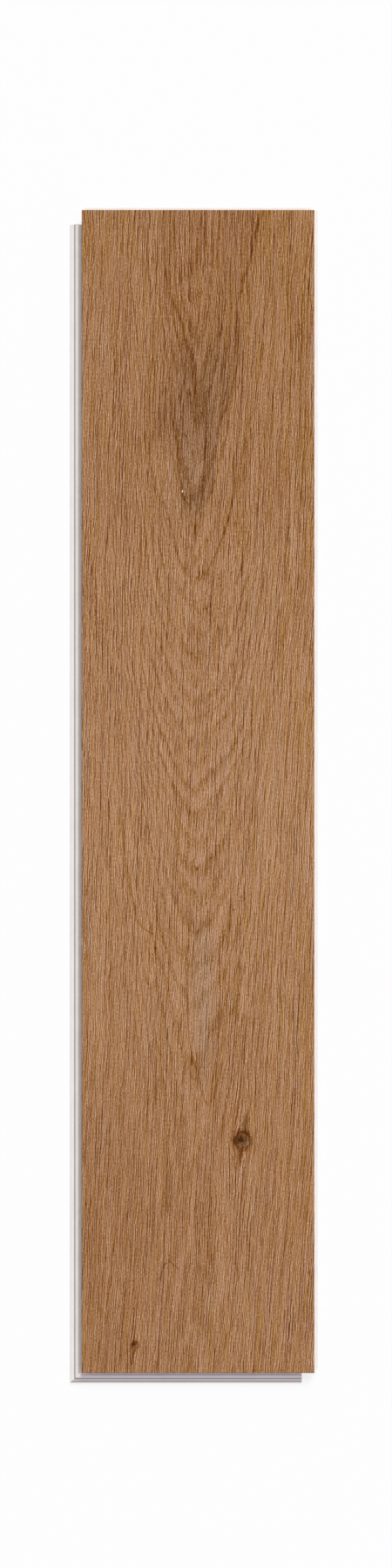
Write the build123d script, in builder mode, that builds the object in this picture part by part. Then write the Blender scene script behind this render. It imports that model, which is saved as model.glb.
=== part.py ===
from build123d import *
import os

# A rigid vinyl floor plank for herringbone laying, in millimetres.
# It lies flat with its printed face up. Its length runs along Y and its width along X.
# The origin is on the underside, below the middle of the printed face.
# The long edge at -X and the short edge at -Y are groove edges with a locking lip.
# The long edge at +X and the short edge at +Y are tongue edges.
# All four edges have the same joint, so a short edge clicks into a long one.

# Face and build-up
face_width = 120.0
face_length = 600.0
thickness = 5.0
decor_thickness = 0.6
edge_bevel = 0.4

# Click joint, as (distance out from the edge of the face) and (height above the underside)
jaw_drop = 1.5  # from the printed face down to the mouth of the groove
jaw_fall = 0.3  # how much the groove's upper jaw slopes down towards its back
tongue_reach = 1.9
channel_width = 1.6  # from the edge of the face to the foot of the locking ridge
lock_run = 0.5  # slope of the locking face
ridge_width = 1.4
ridge_height = 0.9
ridge_fall = 0.25  # slope of the ridge's outer face
lip_reach = 6.2
lip_thickness = 1.2
clearance = 0.12  # left between two joined planks, all round the joint

# Rounding and relief of the milled edges
nose_radius = 0.55
ridge_radius = 0.22
lip_bevel = 0.35
corner_relief = 1.5  # tongue left out at the corner where two tongue edges meet
overcut = 1.0  # how far a cutter runs past the blank

# Heights of the joint above the underside
core_top = thickness - decor_thickness
jaw_height = thickness - jaw_drop
ridge_top = lip_thickness + ridge_height

# Where the locking ridge starts and ends, out from the edge of the face
crest_start = channel_width + lock_run
crest_end = crest_start + ridge_width
ridge_end = crest_end + ridge_fall

# How far in from a tongue edge its recess reaches, which is also where the lips stop beside it
lip_setback = lip_reach + clearance

half_width = face_width / 2
half_length = face_length / 2


def joint_line(gap):
    """The joint's line from the butt face to the end of the lip, standing off the groove edge by gap."""
    groove_back = tongue_reach + clearance - gap
    return [
        (0, jaw_height - gap),
        (-groove_back, jaw_height - jaw_fall - gap),
        (-groove_back, lip_thickness + gap),
        (channel_width - gap, lip_thickness + gap),
        (crest_start - gap, ridge_top + gap),
        (crest_end + gap, ridge_top + gap),
        (ridge_end + gap, lip_thickness + gap),
    ]


joint_radii = [0, nose_radius, nose_radius, ridge_radius, ridge_radius, ridge_radius, ridge_radius]


def edge_plane(outward, distance):
    """The section plane of one edge: its x runs out from the face, its y runs up."""
    return Plane(
        origin=Vector(*outward) * distance,
        x_dir=outward,
        z_dir=Vector(*outward).cross(Vector(0, 0, 1)),
    )


def groove_waste(plane):
    """What the cutters take off a groove edge: the groove, and all above the locking lip."""
    outside = lip_reach + overcut
    roof = core_top + overcut
    start = [(outside, roof), (0, roof)]
    end = [
        (lip_reach - lip_bevel, lip_thickness),
        (lip_reach, lip_thickness - lip_bevel),
        (outside, lip_thickness - lip_bevel),
    ]
    with BuildSketch(plane) as waste:
        with BuildLine():
            FilletPolyline(*start, *joint_line(0), *end, radius=[0, 0, *joint_radii, 0, 0, 0], close=True)
        make_face()
    return waste.sketch


def tongue_waste(plane):
    """What the cutters take off a tongue edge: all above the tongue, and the recess under it."""
    outside = tongue_reach + overcut
    roof = core_top + overcut
    inner_wall = -lip_setback
    start = [(outside, roof), (0, roof)]
    under_tongue = [(-reach, height) for reach, height in joint_line(clearance)]
    end = [
        (inner_wall, lip_thickness + clearance),
        (inner_wall, -overcut),
        (outside, -overcut),
    ]
    with BuildSketch(plane) as waste:
        with BuildLine():
            FilletPolyline(*start, *under_tongue, *end, radius=[0, 0, *joint_radii, 0, 0, 0], close=True)
        make_face()
    return waste.sketch


left_edge = edge_plane((-1, 0, 0), half_width)
right_edge = edge_plane((1, 0, 0), half_width)
near_edge = edge_plane((0, -1, 0), half_length)
far_edge = edge_plane((0, 1, 0), half_length)

blank_width = lip_reach + face_width + tongue_reach
blank_length = lip_reach + face_length + tongue_reach
blank_shift = (tongue_reach - lip_reach) / 2
lip_end = lip_setback + tongue_reach + overcut  # length of lip cleared beside a tongue edge

# Grey core board, milled on all four edges from one pressed blank
with BuildPart() as core_board:
    with BuildSketch(Plane.XY):
        with Locations((blank_shift, blank_shift)):
            Rectangle(blank_width, blank_length)
    extrude(amount=core_top)
    underside_edges = core_board.faces().sort_by(Axis.Z)[0].edges()
    chamfer([underside_edges.sort_by(Axis.X)[0], underside_edges.sort_by(Axis.Y)[0]], length=lip_bevel)

    for groove_edge in (left_edge, near_edge):
        extrude(groove_waste(groove_edge), amount=blank_length, both=True, mode=Mode.SUBTRACT)
    for tongue_edge in (right_edge, far_edge):
        extrude(tongue_waste(tongue_edge), amount=blank_length, both=True, mode=Mode.SUBTRACT)

    # The lips stop short of the tongue edges, and the two tongues don't meet at their corner.
    with BuildSketch(Plane.XY):
        with Locations((-half_width, half_length - lip_setback)):
            Rectangle(lip_reach + overcut, lip_end, align=(Align.MAX, Align.MIN))
        with Locations((half_width - lip_setback, -half_length)):
            Rectangle(lip_end, lip_reach + overcut, align=(Align.MIN, Align.MAX))
        with Locations((half_width - corner_relief, half_length)):
            Rectangle(
                corner_relief + tongue_reach + overcut,
                tongue_reach + overcut,
                align=(Align.MIN, Align.MIN),
            )
    extrude(amount=core_top, mode=Mode.SUBTRACT)

# Printed wood film under its clear wear layer, fused to the top of the core
with BuildPart() as decor_layer:
    with BuildSketch(Plane.XY.offset(core_top)):
        Rectangle(face_width, face_length)
    extrude(amount=decor_thickness)
    chamfer(decor_layer.faces().sort_by(Axis.Z)[-1].edges(), length=edge_bevel)

core_board.part.label = "core_board"
decor_layer.part.label = "decor_layer"

os.makedirs("parts", exist_ok=True)
export_step(core_board.part, "parts/core_board.step")
export_step(decor_layer.part, "parts/decor_layer.step")
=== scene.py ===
import math

import bpy
import numpy as np
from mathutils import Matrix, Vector


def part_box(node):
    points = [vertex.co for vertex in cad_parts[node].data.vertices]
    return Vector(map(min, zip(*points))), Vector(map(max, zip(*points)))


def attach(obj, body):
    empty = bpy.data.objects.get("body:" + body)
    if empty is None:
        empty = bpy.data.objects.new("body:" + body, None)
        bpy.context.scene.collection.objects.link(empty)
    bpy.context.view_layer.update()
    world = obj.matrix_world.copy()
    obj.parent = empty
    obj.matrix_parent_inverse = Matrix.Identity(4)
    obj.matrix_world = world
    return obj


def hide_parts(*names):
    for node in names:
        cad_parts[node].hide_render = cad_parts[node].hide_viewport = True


# The frame, and the box of the bare plank

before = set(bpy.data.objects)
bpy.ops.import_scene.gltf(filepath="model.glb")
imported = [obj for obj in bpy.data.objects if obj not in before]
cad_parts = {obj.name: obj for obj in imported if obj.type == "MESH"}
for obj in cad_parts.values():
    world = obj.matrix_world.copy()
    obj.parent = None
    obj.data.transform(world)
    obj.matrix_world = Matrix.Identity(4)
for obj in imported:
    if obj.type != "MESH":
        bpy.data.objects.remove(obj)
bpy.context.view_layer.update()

decor_low, decor_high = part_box("decor_layer")
face_width = decor_high[0] - decor_low[0]
face_length = decor_high[1] - decor_low[1]
face_top = decor_high[2]
decor_bottom = decor_low[2]

# Sizes in metres

edge_bevel = 0.0004
relief_depth = 0.00014
face_columns = 476  # corners of the face's mesh, across and along
face_rows = 200
millimetre = 0.001

# How the photograph was taken

photo_width = 450
photo_height = 1800
face_centre_px = (227.3, 908.6)
face_height_px = 1336.0
camera_distance = 0.80
sensor_width = 36.0  # in millimetres

metres_per_px = face_length / face_height_px

# Light

window_towards = Vector((0.4, 1.5, 1.0))  # from the plank
window_spread = math.radians(25)
window_level = 0.42  # share of the light on a level surface that comes from the window
room_level = 0.58
floor_glow = 0.7
gloss_veil = 0.006  # light that the wear layer's gloss adds to the print under it


def from_photo(column, row):
    """The place on the printed face, in millimetres from its middle, of a pixel of the photograph."""
    scale = metres_per_px / millimetre
    return (column - face_centre_px[0]) * scale, (face_centre_px[1] - row) * scale


# Formulas as nodes


class Field:
    """A number at each point of the surface, kept as a node socket, so formulas read as arithmetic.

    Geometry and material trees share these nodes, so the relief and the print come from one formula.
    """

    def __init__(self, tree, socket):
        self.tree = tree
        self.socket = socket

    def math(self, operation, *terms):
        return arithmetic(self.tree, operation, self, *terms)

    def __add__(self, other):
        return self.math("ADD", other)

    def __sub__(self, other):
        return self.math("SUBTRACT", other)

    def __mul__(self, other):
        return self.math("MULTIPLY", other)

    def __truediv__(self, other):
        return self.math("DIVIDE", other)

    def __rsub__(self, other):
        return arithmetic(self.tree, "SUBTRACT", other, self)

    __radd__ = __add__
    __rmul__ = __mul__

    def least(self, other):
        return self.math("MINIMUM", other)

    def most(self, other):
        return self.math("MAXIMUM", other)

    def root(self):
        return self.math("SQRT")

    def power(self, exponent):
        return self.math("POWER", exponent)

    def size(self):
        return self.math("ABSOLUTE")

    def fraction(self):
        return self.math("FRACT")

    def rise(self, low, high):
        """0 below low, 1 above high, and smooth between. With low above high it falls instead."""
        node = self.tree.nodes.new("ShaderNodeMapRange")
        node.interpolation_type = "SMOOTHSTEP"
        start, end = (0.0, 1.0) if low < high else (1.0, 0.0)
        connect(self.tree, self, node.inputs["Value"])
        node.inputs["From Min"].default_value = min(low, high)
        node.inputs["From Max"].default_value = max(low, high)
        node.inputs["To Min"].default_value = start
        node.inputs["To Max"].default_value = end
        return Field(self.tree, node.outputs["Result"])


def connect(tree, term, socket):
    """Feeds a socket from a field, or sets it to a plain number."""
    if isinstance(term, Field):
        tree.links.new(term.socket, socket)
    else:
        socket.default_value = term


def arithmetic(tree, operation, *terms):
    node = tree.nodes.new("ShaderNodeMath")
    node.operation = operation
    for term, socket in zip(terms, node.inputs):
        connect(tree, term, socket)
    return Field(tree, node.outputs[0])


def point(tree, x, y, z=0.0):
    node = tree.nodes.new("ShaderNodeCombineXYZ")
    for term, socket in zip((x, y, z), node.inputs):
        connect(tree, term, socket)
    return node.outputs[0]


def cloud(across, along, width, length, seed, detail=2.0, roughness=0.5):
    """Soft random patches of about the given width and length, from about -1 to 1."""
    tree = across.tree
    node = tree.nodes.new("ShaderNodeTexNoise")
    node.noise_dimensions = "2D"
    place = point(tree, across / width + seed * 7.3, along / length - seed * 3.1)
    tree.links.new(place, node.inputs["Vector"])
    node.inputs["Scale"].default_value = 1.0
    node.inputs["Detail"].default_value = detail
    node.inputs["Roughness"].default_value = roughness
    return (Field(tree, node.outputs[0]) - 0.5) * 3.0


def traced(value, places):
    """A smooth curve through places of (value, height), both from 0 to 1 and in order of value."""
    tree = value.tree
    node = tree.nodes.new("ShaderNodeFloatCurve")
    curve = node.mapping.curves[0]
    curve.points[0].location = places[0]
    curve.points[-1].location = places[-1]
    for place in places[1:-1]:
        curve.points.new(*place)
    node.mapping.update()
    connect(tree, value, node.inputs["Value"])
    return Field(tree, node.outputs[0])


def pores(across, along, pitch, length, width, seed):
    """Thin dark lines along the grain, one in each cell of about pitch by length, most of them faint.

    The wood is a little paler close beside a line, where the field is below 0: partly the print's paler
    fibres, partly a painted highlight on the edges of the pressed pore.
    """
    tree = across.tree
    node = tree.nodes.new("ShaderNodeTexVoronoi")
    node.voronoi_dimensions = "2D"
    node.feature = "F1"
    node.inputs["Scale"].default_value = 1.0
    node.inputs["Randomness"].default_value = 0.75
    column = across / pitch + seed
    row = along / length + column * 0.382
    tree.links.new(point(tree, column, row), node.inputs["Vector"])
    middle, chance = (tree.nodes.new("ShaderNodeSeparateXYZ") for _ in range(2))
    tree.links.new(node.outputs["Position"], middle.inputs[0])
    tree.links.new(node.outputs["Color"], chance.inputs[0])
    aside = (column - Field(tree, middle.outputs[0])).size() * pitch / width
    ahead = (row - Field(tree, middle.outputs[1])).size()
    depth, reach = (Field(tree, chance.outputs[number]) for number in (0, 1))
    # The pale band beside the line is partly a painted highlight on the pore's pressed edges
    line = aside.rise(0.7, 0.3) * 1.2 - aside.rise(1.8, 0.7) * 0.2
    return line * (0.35 + reach * 0.35 - ahead).rise(0.0, 0.12) * (0.2 + 0.8 * depth * depth * depth)


# The oak figure, in millimetres from the middle of the face

heart_x = from_photo(226.0, 0.0)[0]
ring_pitch = 3.0  # width of a growth ring just left of the heart
right_ring_pitch = 3.3
ring_crowding = 0.00017  # how much closer the rings stand away from the heart
ring_line_scale = 2.4  # how wide a ring counts for the pores and streaks that follow it
ring_bend = 1.6  # 1 draws the arches as pointed as a V, 2 as round as circles
fibre_slope = 0.035  # how far the fibres run to the right for each step towards the far end

# Growth rings that the middle of the face has cut through, as (row of the photo, rings)
ring_counts = (
    (241, 0.0),
    (430, 4.0),
    (600, 8.0),
    (1050, 23.5),
    (1250, 27.5),
    (1400, 28.0),
    (1450, 27.6),
    (1576, 26.2),
)

# The large knot and the small one, as (place, radius, reach of the tails above and below, seed)
knots = (
    (from_photo(278.5, 1309.0), 4.2, 20.0, 19.0, 71.0),
    (from_photo(155.0, 1543.5), 1.7, 2.5, 16.0, 83.0),
)
pale_fleck = from_photo(209.5, 564.0)
fleck_half_width = 0.42
fleck_half_length = 0.7

# The lines that stand out in the figure, as (width in pixels, strength, path of pixels down the face)
dark_lines = (
    (4.0, 0.9, ((188, 241), (188, 285), (192, 325), (205, 362), (212, 385), (214, 412))),
    (3.6, 0.8, ((215, 360), (219, 385), (221, 425), (224, 450), (224, 485))),
    (4.4, 1.0, ((303, 241), (291, 275), (286, 302), (277, 328), (272, 350))),
    (4.4, 1.0, ((272, 350), (272, 412), (267, 442), (252, 486))),
    (3.6, 0.8, ((252, 368), (249, 392), (243, 403))),
    (4.0, 1.0, ((238, 470), (236, 520), (235, 545), (232, 572), (224, 590))),
    (4.0, 1.0, ((203, 480), (204, 520), (205, 540), (210, 568), (217, 580), (224, 590))),
    (2.8, 0.7, ((180, 1126), (180, 1160))),
    (2.6, 1.0, ((252, 1080), (252, 1160), (250, 1205), (244, 1228), (238, 1233))),
    (2.6, 1.0, ((217, 1075), (215, 1150), (219, 1205), (226, 1227), (236, 1233))),
    (3.0, 1.2, ((193, 1447), (187, 1456), (182, 1478))),
    (3.4, 1.1, ((193, 1447), (206, 1457))),
    (9.0, 0.45, ((203, 1278), (206, 1342))),
    (2.4, 0.8, ((214, 1543), (214, 1556))),
)
golden_lines = (
    (3.4, 0.8, ((262, 478), (259, 505), (251, 530))),
    (3.4, 0.9, ((288, 465), (283, 500), (275, 540), (264, 590), (250, 630), (238, 655), (227, 669))),
    (2.8, 0.6, ((170, 470), (171, 520), (180, 560), (196, 615), (207, 645), (216, 660), (226, 669))),
    (3.2, 0.7, ((213, 415), (211, 440), (207, 458))),
    (4.2, 1.0, ((139, 925), (143, 980), (147, 1005), (152, 1032), (160, 1060), (176, 1073), (190, 1083))),
    (3.4, 1.1, ((276, 1105), (273, 1140), (271, 1174))),
    (3.4, 0.9, ((265, 1032), (263, 1060), (262, 1090))),
    (3.0, 0.8, ((309, 1080), (307, 1110), (304, 1145))),
    (3.0, 1.1, ((230, 1238), (233, 1258), (239, 1269))),
    (3.0, 1.1, ((250, 1232), (246, 1256), (239, 1269))),
    (12.0, 0.55, ((238, 1345), (241, 1400), (236, 1480))),
    (8.0, 0.55, ((194, 1325), (195, 1395))),
    (4.0, 0.7, ((142, 1475), (140, 1565))),
    (3.6, 0.7, ((105, 590), (104, 645))),
    (3.4, 0.7, ((349, 690), (352, 760))),
    (3.4, 0.6, ((328, 600), (327, 670))),
)


def drawn_line(x, y, width, path):
    """1 along a path of photo pixels that runs down the face, fading at its sides and ends."""
    places = [from_photo(column, row) for column, row in path]
    left = min(place[0] for place in places)
    span = max(max(place[0] for place in places) - left, 1.0)
    top = places[0][1]
    drop = top - places[-1][1]
    down = (top - y) / drop
    line = traced(down, [((top - place[1]) / drop, (place[0] - left) / span) for place in places])
    aside = (x - (line * span + left)).size()
    half = width / 2 * metres_per_px / millimetre
    return aside.rise(half * 1.3, half * 0.2) * down.rise(-0.04, 0.12) * down.rise(1.04, 0.9)


def figure_lines(x, y, lines):
    """All lines of a list together, wavering a little and broken up by the fibres."""
    wander = x + cloud(x, y, 2.4, 7.0, 33.0) * 0.45
    ragged = 0.45 + cloud(x, y, 0.7, 5.0, 36.0, detail=1.0).rise(-0.6, 0.5) * 0.55
    total = 0.0
    for width, strength, path in lines:
        total = drawn_line(wander, y, width, path) * strength + total
    return total * ragged


def ring_count(y):
    """How many growth rings the middle of the face has cut through, from the far end down to y."""
    length = face_length / millimetre
    far_row = face_centre_px[1] - face_height_px / 2
    most_rings = max(count for _, count in ring_counts)
    places = [((row - far_row) / face_height_px, count / most_rings) for row, count in ring_counts]
    return traced((length / 2 - y) / length, places) * most_rings


def parted(across, along, place, radius):
    """How far the fibres step aside for a knot."""
    side = across - place[0]
    reach = (along - place[1]) / 2.2
    square = radius * radius
    return side * (1.6 * square) / (side * side + reach * reach + 1.75 * square)


def oak_figure(x, y):
    """The fields that the print and the relief are made of, from a place on the face in millimetres."""
    # The wood draws a little closer towards the near end, leans there, wavers, and parts for the knots.
    lean = (y + 60.0).least(0.0)
    side = (x - heart_x) * (1.0 + 0.10 * y.rise(170.0, -100.0)) + lean * lean * (x + 130.0) * 0.0000006
    for place, radius, *_ in knots:
        side = side - parted(x, y, place, radius)
    side = side + cloud(x, y, 24.0, 60.0, 3.1, detail=1.0) * 0.9
    fibre = side - y * fibre_slope
    near_heart = (x - heart_x).size().rise(22.0, 4.0)
    kinks = cloud(x, y, 2.0, 8.0, 8.6, detail=1.0) * (0.16 + near_heart * 0.10)

    # Growth rings, cut lengthwise, draw the arches. Each fibre shifts their tips a little, like a feather.
    aside = side + cloud(x, y, 30.0, 80.0, 7.7, detail=1.0) * 2.2
    flank = aside.size().rise(10.0, 36.0)  # where the rings themselves run lengthwise
    clear = 0.4 + y.rise(-200.0, -130.0) * 0.6  # the rings fade at the near end,
    ring_share = (1.15 - aside.size().rise(28.0, 54.0) * 0.65) * clear  # and towards the long edges
    feathered = y + cloud(fibre, y, 0.6, 30.0, 17.9, detail=1.0) * (4.0 - flank * 3.6)
    pitch = ring_pitch + (right_ring_pitch - ring_pitch) * aside.rise(-8.0, 8.0)
    from_heart = aside.size() * (1.0 + aside * aside * ring_crowding) / pitch
    middle_count = ring_count(feathered).most(0.2)
    ring = (from_heart.power(ring_bend) + middle_count.power(ring_bend)).power(1.0 / ring_bend)
    cut = (from_heart / ring).power(ring_bend - 1.0).most(0.22)  # how squarely the face cuts the rings
    ring = ring + cloud(fibre, y, 6.0, 40.0, 11.3, detail=1.0) * 0.2
    phase = ring.fraction()
    early = phase.rise(0.5, 0.1) * phase.rise(0.0, 0.06) * clear

    # Open pores run with the fibres, most of them in the early wood of each ring.
    streak = cloud(fibre, y, 1.5, 110.0, 13.7, detail=1.0).rise(-0.7, 0.7)
    ring_streak = cloud(ring * ring_line_scale, y, 1.3, 110.0, 15.2, detail=1.0).rise(-0.7, 0.7)
    long_pores = pores(fibre + kinks, y, 1.5, 36.0, 0.40, 4.0) * (0.65 + streak * 0.2 + early * 0.2)
    long_pores = long_pores * (1.15 - ring_share * 0.2)
    short_pores = pores(fibre + kinks, y, 1.0, 10.0, 0.40, 31.0) * (0.65 + streak * 0.2 + early * 0.25)
    ring_pores = pores(ring * ring_line_scale + kinks * cut, y, 1.2, 50.0, cut * 0.46, 57.0)
    ring_pores = ring_pores * (0.2 + early * 0.75) * ring_share

    # Fibres between the pores. The two shifted copies taken off each fibre give it a pale edge where it is
    # dark and a dark edge where it is pale: partly the print's fibre contrast, partly painted highlight
    # and shade along the pressed fibres.
    step = 0.45
    fine = 0.0
    for shift, share in ((-step, -0.45), (0.0, 1.0), (step, -0.45)):
        fine = cloud(fibre + kinks * 0.5 + shift, y, 0.46, 5.0, 1.7, detail=0.0) * share + fine
    tiny = cloud(fibre, y, 0.40, 1.1, 9.4, detail=0.0)
    streaks = streak * (2.0 - ring_share) + ring_streak * ring_share
    broad = streaks * -1.9 + cloud(fibre, y, 5.0, 120.0, 6.8, detail=1.0) * 0.6 + 1.9

    # Where a ring comes up to the face at the tip of an arch, its pores are cut across.
    ragged = ring + cloud(x, y, 2.6, 2.0, 23.0, detail=1.0) * 0.12
    from_ring = ((ragged + 0.5).fraction() - 0.5).size()
    at_tip = from_heart.rise(5.5, 2.0) * y.rise(-130.0, -80.0)
    broken = cloud(x, y, 3.5, 5.0, 27.0).rise(-0.2, 0.3)
    tip_marks = from_ring.rise(0.055, 0.01) * at_tip * broken
    return {
        "fibre": fibre,
        "early": early,
        "long_pores": long_pores,
        "short_pores": short_pores,
        "ring_pores": ring_pores,
        "fine": fine,
        "tiny": tiny,
        "broad": broad,
        "tip_marks": tip_marks,
    }


def knot_figure(x, y, place, radius, tail_above, tail_below, seed):
    """The parts of a knot, each from 0 to 1. Its axis leans to the right going up."""
    side = x - place[0]
    ahead = y - place[1]
    ragged = cloud(x, y, radius * 0.35, radius * 0.35, seed) * 0.2

    def round_spot(right, up, size):
        spot_side = side / radius - right
        spot_ahead = ahead / radius - up
        return ((spot_side * spot_side + spot_ahead * spot_ahead * 0.85).root() + ragged) / size

    def tail(along):
        return (drift - (1.0 - along).most(0.0) * 0.62).rise(0.3, -0.3) * along.rise(1.0, 0.5)

    out = round_spot(0.0, 0.0, 1.0)
    drift = (side - ahead * 0.17 + cloud(x, y, 1.2, 6.0, seed + 5.0) * 0.7).size() / radius
    spike_reach = (0.9 - ahead.size() / radius * 2.2).most(0.0) * 0.75
    spikes = (out - spike_reach).rise(1.0, 0.55) * side.rise(0.5, -0.5)
    upper_left = (ahead - side * 0.7) / radius
    glints = cloud(x, y, 0.5, 0.5, seed + 9.0, detail=0.0).rise(0.5, 0.8)
    return {
        "rim": (out - 0.92).size().rise(0.32, 0.05) * (0.5 + upper_left.rise(-0.7, 0.3) * 0.5),
        "filling": out.rise(1.15, 0.85),
        "heart": round_spot(-0.2, 0.05, 0.8).rise(1.1, 0.1),
        "pale": round_spot(0.4, -0.3, 0.5).rise(1.1, 0.2),
        "stain": out.rise(1.7, 0.9).most(spikes),
        "above": tail((ahead / tail_above).most(0.0)) * ahead.rise(-0.5, 0.5),
        "below": tail((ahead / -tail_below).most(0.0)) * ahead.rise(0.5, -0.5),
        "glints": glints * (out - 0.7).size().rise(0.4, 0.1) * upper_left.rise(0.3, -0.3),
    }


# Printed and embossed face


def group_input(tree, name, kind, value):
    """A named input of a geometry tree, with the value it has until it is set."""
    socket = tree.interface.new_socket(name=name, in_out="INPUT", socket_type=kind)
    if value is not None:
        socket.default_value = value


def embossed_face_tree():
    """The decor layer as a rule: a grid pressed with the oak relief, its bevel, sides and underside."""
    tree = bpy.data.node_groups.new("embossed_oak_face", "GeometryNodeTree")
    group_input(tree, "Width", "NodeSocketFloat", 0.12)
    group_input(tree, "Length", "NodeSocketFloat", 0.6)
    group_input(tree, "Top", "NodeSocketFloat", 0.005)
    group_input(tree, "Bottom", "NodeSocketFloat", 0.0044)
    group_input(tree, "Bevel", "NodeSocketFloat", 0.0004)
    group_input(tree, "Relief Depth", "NodeSocketFloat", 0.0001)
    group_input(tree, "Columns", "NodeSocketInt", 100)
    group_input(tree, "Rows", "NodeSocketInt", 100)
    group_input(tree, "Material", "NodeSocketMaterial", None)
    tree.interface.new_socket(name="Geometry", in_out="OUTPUT", socket_type="NodeSocketGeometry")
    source = tree.nodes.new("NodeGroupInput")
    sizes = {socket.name: socket for socket in source.outputs}
    width, length, top, bottom, bevel, relief = (
        Field(tree, sizes[name]) for name in ("Width", "Length", "Top", "Bottom", "Bevel", "Relief Depth")
    )

    def place_xyz():
        position = tree.nodes.new("GeometryNodeInputPosition")
        split = tree.nodes.new("ShaderNodeSeparateXYZ")
        tree.links.new(position.outputs[0], split.inputs[0])
        return [Field(tree, socket) for socket in split.outputs]

    def move(mesh, selection, offset=None, position=None):
        node = tree.nodes.new("GeometryNodeSetPosition")
        tree.links.new(mesh, node.inputs["Geometry"])
        if selection is not None:
            tree.links.new(selection, node.inputs["Selection"])
        if offset is not None:
            tree.links.new(offset, node.inputs["Offset"])
        if position is not None:
            tree.links.new(position, node.inputs["Position"])
        return node.outputs["Geometry"]

    def extrude_edges(mesh, selection):
        node = tree.nodes.new("GeometryNodeExtrudeMesh")
        node.mode = "EDGES"
        tree.links.new(mesh, node.inputs["Mesh"])
        tree.links.new(selection, node.inputs["Selection"])
        node.inputs["Offset Scale"].default_value = 0.0
        return node.outputs["Mesh"], node.outputs["Top"]

    # Flat of the face, pressed with the relief
    grid = tree.nodes.new("GeometryNodeMeshGrid")
    connect(tree, width - bevel * 2.0, grid.inputs["Size X"])
    connect(tree, length - bevel * 2.0, grid.inputs["Size Y"])
    tree.links.new(sizes["Columns"], grid.inputs["Vertices X"])
    tree.links.new(sizes["Rows"], grid.inputs["Vertices Y"])
    x, y, _ = place_xyz()
    figure = oak_figure(x / millimetre, y / millimetre)
    pressed = figure["long_pores"].most(figure["ring_pores"]) * 0.8 + figure["short_pores"] * 0.4 + 0.02
    pressed = pressed.most(0.0)
    mesh = move(grid.outputs["Mesh"], None, offset=point(tree, 0.0, 0.0, top - pressed * relief))

    # Bevel, stepping out and down from the rim of the flat
    rim = tree.nodes.new("GeometryNodeInputMeshEdgeNeighbors")
    is_rim = tree.nodes.new("FunctionNodeCompare")
    is_rim.data_type = "INT"
    is_rim.operation = "EQUAL"
    tree.links.new(rim.outputs["Face Count"], is_rim.inputs[2])
    is_rim.inputs[3].default_value = 1
    mesh, outer = extrude_edges(mesh, is_rim.outputs[0])
    x, y, _ = place_xyz()
    slack = 1.0e-5
    at_side = (x.size() - (width * 0.5 - bevel - slack)).math("SIGN").most(0.0) * x.math("SIGN")
    at_end = (y.size() - (length * 0.5 - bevel - slack)).math("SIGN").most(0.0) * y.math("SIGN")
    mesh = move(mesh, outer, offset=point(tree, at_side * bevel, at_end * bevel, bevel * -1.0))

    # Sides and underside
    mesh, foot = extrude_edges(mesh, outer)
    x, y, _ = place_xyz()
    mesh = move(mesh, foot, position=point(tree, x, y, bottom))
    outline = tree.nodes.new("GeometryNodeMeshToCurve")
    tree.links.new(mesh, outline.inputs["Mesh"])
    tree.links.new(foot, outline.inputs["Selection"])
    underside = tree.nodes.new("GeometryNodeFillCurve")
    underside.mode = "NGONS"
    tree.links.new(outline.outputs[0], underside.inputs["Curve"])
    lift = move(underside.outputs[0], None, offset=point(tree, 0.0, 0.0, bottom))
    turn = tree.nodes.new("GeometryNodeFlipFaces")
    tree.links.new(lift, turn.inputs[0])
    whole = tree.nodes.new("GeometryNodeJoinGeometry")
    tree.links.new(turn.outputs[0], whole.inputs[0])
    tree.links.new(mesh, whole.inputs[0])
    weld = tree.nodes.new("GeometryNodeMergeByDistance")
    weld.inputs["Distance"].default_value = 1.0e-6
    tree.links.new(whole.outputs[0], weld.inputs["Geometry"])

    realize = tree.nodes.new("GeometryNodeRealizeInstances")
    tree.links.new(weld.outputs[0], realize.inputs[0])
    paint = tree.nodes.new("GeometryNodeSetMaterial")
    tree.links.new(realize.outputs[0], paint.inputs["Geometry"])
    tree.links.new(sizes["Material"], paint.inputs["Material"])
    result = tree.nodes.new("NodeGroupOutput")
    tree.links.new(paint.outputs[0], result.inputs[0])
    return tree


def grown(name, tree, **inputs):
    """A plain mesh object from a geometry tree and its named inputs."""
    start = bpy.data.objects.new(name + "_start", bpy.data.meshes.new(name + "_start"))
    bpy.context.scene.collection.objects.link(start)
    modifier = start.modifiers.new("rule", "NODES")
    modifier.node_group = tree
    for socket in tree.interface.items_tree:
        key = socket.name.lower().replace(" ", "_")
        if socket.in_out == "INPUT" and key in inputs:
            modifier[socket.identifier] = inputs[key]
    bpy.context.view_layer.update()
    evaluated = start.evaluated_get(bpy.context.evaluated_depsgraph_get())
    mesh = bpy.data.meshes.new_from_object(evaluated)
    bpy.data.objects.remove(start)
    mesh.name = name
    piece = bpy.data.objects.new(name, mesh)
    bpy.context.scene.collection.objects.link(piece)
    return piece


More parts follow.
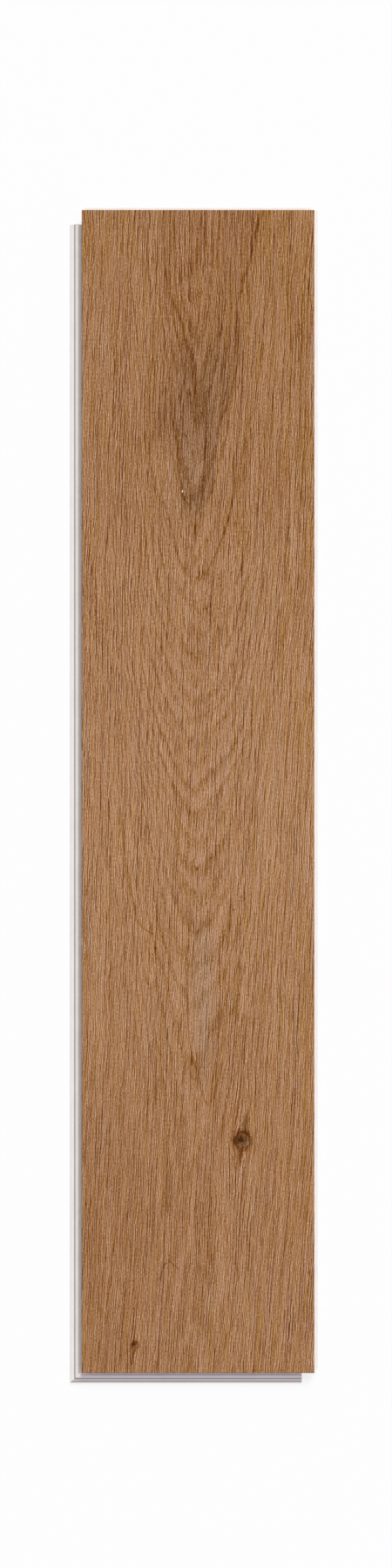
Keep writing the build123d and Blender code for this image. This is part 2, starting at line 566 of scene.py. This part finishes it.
def print_map(mesh):
    """The printed face's UV map: the top fills most of the square, the other sides are strips by it."""
    count = len(mesh.loops)
    corners = np.empty(len(mesh.vertices) * 3)
    mesh.vertices.foreach_get("co", corners)
    corner_of_loop = np.empty(count, dtype=np.int32)
    mesh.loops.foreach_get("vertex_index", corner_of_loop)
    place = corners.reshape(-1, 3)[corner_of_loop]
    facing = np.empty(len(mesh.polygons) * 3)
    mesh.polygons.foreach_get("normal", facing)
    loops_of_face = np.empty(len(mesh.polygons), dtype=np.int32)
    mesh.polygons.foreach_get("loop_total", loops_of_face)
    facing = np.repeat(facing.reshape(-1, 3), loops_of_face, axis=0)
    across = place[:, 0] / face_width + 0.5
    along = place[:, 1] / face_length + 0.5
    up = (place[:, 2] - decor_bottom) / (face_top - decor_bottom)
    main = 0.94
    strip = 0.01
    strips = (
        (facing[:, 2] > 0.3, across * main, along * main),
        (facing[:, 2] < -0.3, main + strip + across * strip, along * main),
        (facing[:, 0] < -0.9, main + 3 * strip + up * strip, along * main),
        (facing[:, 0] > 0.9, main + 4.5 * strip + up * strip, along * main),
        (facing[:, 1] < -0.9, across * main, main + strip + up * strip),
        (facing[:, 1] > 0.9, across * main, main + 3 * strip + up * strip),
    )
    places = np.zeros((count, 2))
    for faces, u, v in strips:
        places[faces, 0] = u[faces]
        places[faces, 1] = v[faces]
    mesh.uv_layers.new(name="OFBake").data.foreach_set("uv", places.ravel())


# Materials


def to_linear(*levels):
    """A colour given in screen levels of 0 to 255."""
    shares = [level / 255 for level in levels]
    return [s / 12.92 if s <= 0.04045 else ((s + 0.055) / 1.055) ** 2.4 for s in shares] + [1.0]


def new_material(name):
    material = bpy.data.materials.new(name)
    material.use_nodes = True
    shader = material.node_tree.nodes["Principled BSDF"]
    return material, material.node_tree, shader


def object_place(tree):
    """The place on the piece, in millimetres."""
    source = tree.nodes.new("ShaderNodeTexCoord")
    split = tree.nodes.new("ShaderNodeSeparateXYZ")
    tree.links.new(source.outputs["Object"], split.inputs[0])
    return [Field(tree, socket) / millimetre for socket in split.outputs]


def shaded(field, *stops):
    """A colour for each level of a field, from stops of (position, colour)."""
    tree = field.tree
    node = tree.nodes.new("ShaderNodeValToRGB")
    ramp = node.color_ramp
    while len(ramp.elements) < len(stops):
        ramp.elements.new(0.5)
    for element, (position, colour) in zip(ramp.elements, stops):
        element.position = position
        element.color = colour
    tree.links.new(field.socket, node.inputs[0])
    return node.outputs[0]


def mixed(tree, share, first, second):
    node = tree.nodes.new("ShaderNodeMix")
    node.data_type = "RGBA"
    connect(tree, share, node.inputs["Factor"])
    for colour, socket in ((first, node.inputs[6]), (second, node.inputs[7])):
        if isinstance(colour, list):
            socket.default_value = colour
        else:
            tree.links.new(colour, socket)
    return node.outputs[2]


def dents(tree, shader, height):
    """Bump of a height in millimetres."""
    node = tree.nodes.new("ShaderNodeBump")
    node.inputs["Distance"].default_value = millimetre
    tree.links.new(height.socket, node.inputs["Height"])
    tree.links.new(node.outputs[0], shader.inputs["Normal"])


# Colours of the print, in screen levels
plain_oak = (162, 118, 82)
golden_oak = (162, 116, 60)
rosy_oak = (160, 119, 94)
ruddy_oak = (166, 113, 77)
grey_oak = (156, 119, 90)
knot_tail_above = (114, 72, 34)
knot_tail_below = (130, 82, 38)
knot_stain = (132, 80, 34)
knot_filling = (124, 84, 48)
knot_pale_side = (166, 126, 88)
knot_rim = (84, 46, 12)
knot_heart = (64, 32, 6)
knot_glint = (205, 170, 148)
fleck_white = (240, 228, 212)

# Screen levels that the parts of the figure add to the print
print_levels = {
    "fine": 23.5,
    "tiny": 18.5,
    "broad": 4.2,
    "long_pores": -118.0,
    "short_pores": -64.0,
    "ring_pores": -60.0,
    "tip_marks": -46.0,
}
ground_level = 13.6

pore_falls = (0.97, 1.06, 1.32)  # how fast red, green and blue go down towards the dark of a pore
fibre_rises = (0.97, 1.06, 1.16)  # and up towards the lightest fibre


def under_gloss(*levels):
    """The print's own colour where it looks like the given screen levels through the wear layer."""
    return [max(share - gloss_veil, 0.1 * share) for share in to_linear(*levels)[:3]] + [1.0]


def oak_shades(tone, middle):
    """The shades of one oak colour, from the dark of a pore to the lightest fibre."""
    steps = (-100, -70, -45, -20, 0, 20, 40, 60)
    stops = []
    for step in steps:
        falls = pore_falls if step < 0 else fibre_rises
        shade = under_gloss(*(max(level + step * fall, 0.0) for level, fall in zip(middle, falls)))
        stops.append(((step + 100) / 160, shade))
    return shaded(tone, *stops)


def blot(x, y, place, across, along):
    """A soft oval, 1 in its middle, of the given half-sizes in pixels."""
    scale = metres_per_px / millimetre
    centre_x, centre_y = from_photo(*place)
    side = (x - centre_x) / (across * scale)
    ahead = (y - centre_y) / (along * scale)
    return (side * side + ahead * ahead).root().rise(1.2, 0.3)


def heart_stain(x, y):
    """The darker wood inside the first arches, and how grey it is: both from 0 to about 1."""
    tip_x, tip_y = from_photo(221.0, 592.0)
    above_tip = y - tip_y
    wander = x + cloud(x, y, 6.0, 22.0, 51.0) * 2.2
    side = (wander - tip_x - above_tip * 0.07).size() / (5.5 + above_tip.most(0.0) * 0.13)
    inside = side.rise(1.3, 0.8) * above_tip.rise(-3.0, 6.0)
    grey = inside * above_tip.rise(110.0, 60.0)
    patches = blot(wander, y, (231.0, 468.0), 11.0, 30.0) * 0.8
    patches = patches + blot(wander, y, (191.0, 485.0), 12.0, 42.0) * 0.7
    tongue = blot(wander, y, (220.0, 540.0), 13.0, 46.0)
    return inside * 0.45 + grey * 0.35 + patches - tongue * 0.35, grey.most(patches)


def slow_level_changes(x, y):
    """Slow changes of the print's level over the whole face, in screen levels: darker at both ends and
    towards the near left corner, lighter in the middle.
    """
    far_end = y.rise(60.0, 200.0) * -3.5
    across = (x - heart_x).size().rise(70.0, 0.0) * 0.5 + x.rise(0.0, 50.0) + 1.0
    middle = y.size().rise(220.0, 20.0) * across * 2.0
    near_end = y.rise(-60.0, -260.0) * -3.6
    near_left = y.rise(-90.0, -200.0) * x.rise(10.0, -50.0) * -4.5
    return far_end + middle + near_end + near_left + cloud(x, y, 45.0, 130.0, 61.0, detail=1.0) * 1.2


def oak_print():
    """The printed oak under its matt wear layer."""
    material, tree, shader = new_material("oak_print")
    x, y, _ = object_place(tree)
    figure = oak_figure(x, y)
    fibre = figure["fibre"]
    early = figure["early"]
    dark = figure_lines(x, y, dark_lines)
    gold = figure_lines(x, y, golden_lines)
    stain, grey = heart_stain(x, y)
    pale_tongue = blot(x, y, (233.0, 1140.0), 16.0, 105.0)
    level = ground_level
    for name, share in print_levels.items():
        level = figure[name] * share + level
    level = level - early * (3.0 + (x - heart_x).size().rise(40.0, 8.0) * 4.0) + slow_level_changes(x, y)
    level = level - dark * 30.0 - gold * 22.0 - stain * 17.0 + pale_tongue * 2.0

    # Darker golden streaks, more of them towards the far end and right edge, and lighter rosy ones
    goldness = x.rise(10.0, 60.0) * 0.35 + y.rise(100.0, 280.0) * 0.25
    golden = (cloud(fibre, y, 1.9, 52.0, 41.0) + goldness).rise(0.15, 0.9)
    golden = golden.most(early * 0.6).most(gold)
    rosy = cloud(fibre, y, 2.6, 70.0, 47.0).rise(0.1, 0.8)
    ruddy = cloud(fibre, y, 2.2, 30.0, 49.0).rise(0.2, 0.9)
    tone = ((level - golden * 4.0 + rosy * 3.0).most(-72.0) + 100.0) / 160.0
    colour = oak_shades(tone, plain_oak)
    colour = mixed(tree, golden * 0.7, colour, oak_shades(tone, golden_oak))
    colour = mixed(tree, rosy * 0.6, colour, oak_shades(tone, rosy_oak))
    colour = mixed(tree, ruddy * 0.5, colour, oak_shades(tone, ruddy_oak))
    colour = mixed(tree, grey.most(pale_tongue) * 0.7, colour, oak_shades(tone, grey_oak))

    # Knots and a pale fleck
    grain = tone * 0.8 + 0.1
    for place, radius, above, below, seed in knots:
        knot = knot_figure(x, y, place, radius, above, below, seed)
        colour = mixed(tree, knot["above"] * 0.85, colour, oak_shades(grain, knot_tail_above))
        colour = mixed(tree, knot["below"], colour, oak_shades(grain, knot_tail_below))
        colour = mixed(tree, knot["stain"] * 0.8, colour, oak_shades(grain, knot_stain))
        colour = mixed(tree, knot["filling"] * 0.9, colour, oak_shades(grain, knot_filling))
        colour = mixed(tree, knot["pale"] * 0.45, colour, oak_shades(grain, knot_pale_side))
        colour = mixed(tree, knot["rim"] * 0.85, colour, under_gloss(*knot_rim))
        colour = mixed(tree, knot["heart"] * 0.95, colour, under_gloss(*knot_heart))
        colour = mixed(tree, knot["glints"] * 0.6, colour, under_gloss(*knot_glint))
    fleck_side = (x - pale_fleck[0]) / fleck_half_width
    fleck_ahead = (y - pale_fleck[1]) / fleck_half_length
    fleck = (fleck_side * fleck_side + fleck_ahead * fleck_ahead).rise(1.0, 0.4)
    colour = mixed(tree, fleck, colour, under_gloss(*fleck_white))

    tree.links.new(colour, shader.inputs["Base Color"])
    roughness = 0.58 + figure["fine"] * 0.03 + figure["short_pores"] * 0.1
    tree.links.new(roughness.socket, shader.inputs["Roughness"])
    shader.inputs["Specular IOR Level"].default_value = 0.07
    dents(tree, shader, figure["fine"] * 0.006 + figure["tiny"] * 0.004 - figure["short_pores"] * 0.02)
    return material


def tinted_greys(tone, tint):
    """The core's shades in one tint, given in screen levels of red, green and blue."""
    stops = []
    for grey in (90, 130, 170, 210, 245):
        stops.append((grey / 255, to_linear(*(grey + part for part in tint))))
    return shaded(tone, *stops)


core_level = 213.0  # screen level of the bare core


def grey_core():
    """The pale grey core: its filler's specks, the cutters' lines, and painted shade and painted light on
    its milled steps and tongues.
    """
    material, tree, shader = new_material("grey_core")
    x, y, z = object_place(tree)
    beside_left = x * -1.0 - face_width / millimetre / 2
    beside_near = y * -1.0 - face_length / millimetre / 2
    out = beside_left.most(beside_near)  # distance out from the face on the two groove edges
    on_near = (beside_near - beside_left).rise(-0.1, 0.1)
    on_left = 1.0 - on_near
    right_tongue = (beside_left * -1.0 - face_width / millimetre).rise(-0.2, 0.4)
    far_tongue = (beside_near * -1.0 - face_length / millimetre).rise(-0.2, 0.4)
    speck = cloud(x + z, y + z, 0.45, 0.45, 2.0, detail=3.0, roughness=0.7)
    mottle = cloud(x, y, 9.0, 9.0, 6.0)
    over_edge = x * on_left + y * on_near + z
    along_edge = y * on_left + x * on_near
    scratches = cloud(over_edge, along_edge, 0.12, 14.0, 12.0, detail=1.0)

    # The steps of the groove edges, by their distance out from the face in millimetres, for the shade and
    # light painted on them
    channel = out.rise(-2.0, 0.0) * out.rise(2.0, 1.4)
    foot = (out - 3.9).size().rise(0.4, 0.1)
    ridge = (out - 2.4).size().rise(1.1, 0.5)
    lip = out.rise(4.0, 4.3)
    rim = out.rise(4.6, 6.0) * on_near
    level = core_level + speck * 5.0 + mottle * 3.0 + scratches * 5.0
    # Painted light: the tongues on the right and far edges are made paler where the window light falls on
    # them
    level = level + (right_tongue * 28.0).most(far_tongue * 14.0)
    # Painted shade in the channel beside the face on the left edge, painted light in the channel on the
    # near edge, a painted shadow line at the ridge's foot and a painted highlight on the ridge
    level = level - channel * (on_left * 32.0 - 16.0) - foot * (on_near * 12.0 + 48.0) + ridge * 14.0
    # Painted shade on the outer rim of the near lip, and painted light on the left lip
    level = level - rim * 54.0 + lip * on_left * 24.0
    tone = level / 255.0
    # Lilac greys for the left edge and the tongues, which the light falls on, and cream greys for the near
    # edge in shade: one core painted in a lit and a shaded tint
    lilac = tinted_greys(tone, (0.0, -9.0, -4.0))
    cream = tinted_greys(tone, (0.0, -7.0, -10.0))
    # Browner greys for the painted shade on the near lip's rim
    rim_shade_greys = tinted_greys(tone, (3.0, -12.0, -22.0))
    colour = mixed(tree, on_left.most(right_tongue).most(far_tongue), lilac, cream)
    tree.links.new(mixed(tree, rim, colour, rim_shade_greys), shader.inputs["Base Color"])
    roughness = 0.62 + speck * 0.05 + scratches * 0.05
    tree.links.new(roughness.socket, shader.inputs["Roughness"])
    shader.inputs["Specular IOR Level"].default_value = 0.3
    dents(tree, shader, speck * 0.012 + scratches * 0.012)
    return material


# The plank

oak = oak_print()
core = grey_core()

decor = grown(
    "printed_face",
    embossed_face_tree(),
    width=face_width,
    length=face_length,
    top=face_top,
    bottom=decor_bottom,
    bevel=edge_bevel,
    relief_depth=relief_depth,
    columns=face_columns,
    rows=face_rows,
    material=oak,
)
print_map(decor.data)
decor.data.polygons.foreach_set("use_smooth", [True] * len(decor.data.polygons))
decor.data.set_sharp_from_angle(angle=math.radians(40))
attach(decor, "root")
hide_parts("decor_layer")

core_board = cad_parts["core_board"]
core_board.data.materials.clear()
core_board.data.materials.append(core)

# Floor, light and camera


def looked_at(tree):
    """1 where a surface is seen, directly or in something shiny or clear, and 0 where it only lights."""
    ray = tree.nodes.new("ShaderNodeLightPath")
    seen = [Field(tree, ray.outputs[f"Is {kind} Ray"]) for kind in ("Camera", "Glossy", "Transmission")]
    return seen[0].most(seen[1]).most(seen[2])


def white_floor():
    """A white floor that shows only part of the plank's shadow, as a bright backdrop does."""
    half = 3.0
    mesh = bpy.data.meshes.new("floor")
    corners = [(-half, -half, 0), (half, -half, 0), (half, half, 0), (-half, half, 0)]
    mesh.from_pydata(corners, [], [(0, 1, 2, 3)])
    floor = bpy.data.objects.new("floor", mesh)
    bpy.context.scene.collection.objects.link(floor)
    material, tree, shader = new_material("white_floor")
    shader.inputs["Base Color"].default_value = (0.95, 0.95, 0.95, 1.0)
    shader.inputs["Roughness"].default_value = 0.9
    glow = tree.nodes.new("ShaderNodeEmission")
    mix = tree.nodes.new("ShaderNodeMixShader")
    connect(tree, looked_at(tree) * floor_glow, mix.inputs[0])
    tree.links.new(shader.outputs[0], mix.inputs[1])
    tree.links.new(glow.outputs[0], mix.inputs[2])
    tree.links.new(mix.outputs[0], tree.nodes["Material Output"].inputs["Surface"])
    mesh.materials.append(material)


def window_light():
    """Broad light from beyond the far right corner, low enough to shade the lip at the near end."""
    lamp = bpy.data.lights.new("window_light", "SUN")
    lamp.energy = window_level * math.pi * window_towards.length / window_towards.z
    lamp.angle = window_spread
    holder = bpy.data.objects.new("window_light", lamp)
    holder.rotation_euler = window_towards.to_track_quat("Z", "Y").to_euler()
    bpy.context.scene.collection.objects.link(holder)


def room_light():
    """Even light from all around, which looks white beyond the floor."""
    world = bpy.data.worlds.new("room_light")
    world.use_nodes = True
    tree = world.node_tree
    background = tree.nodes["Background"]
    background.inputs["Color"].default_value = (1.0, 1.0, 1.0, 1.0)
    connect(tree, looked_at(tree) * (1.0 - room_level) + room_level, background.inputs["Strength"])
    bpy.context.scene.world = world


white_floor()
window_light()
room_light()
scene = bpy.context.scene
scene.view_settings.view_transform = "Standard"

camera_data = bpy.data.cameras.new("camera")
camera_data.sensor_width = sensor_width
camera_data.sensor_fit = "AUTO"
camera_data.lens = sensor_width * camera_distance / (photo_height * metres_per_px)
camera = bpy.data.objects.new("camera", camera_data)
camera.location = (
    (photo_width / 2 - face_centre_px[0]) * metres_per_px,
    (face_centre_px[1] - photo_height / 2) * metres_per_px,
    face_top + camera_distance,
)
scene.collection.objects.link(camera)
scene.camera = camera
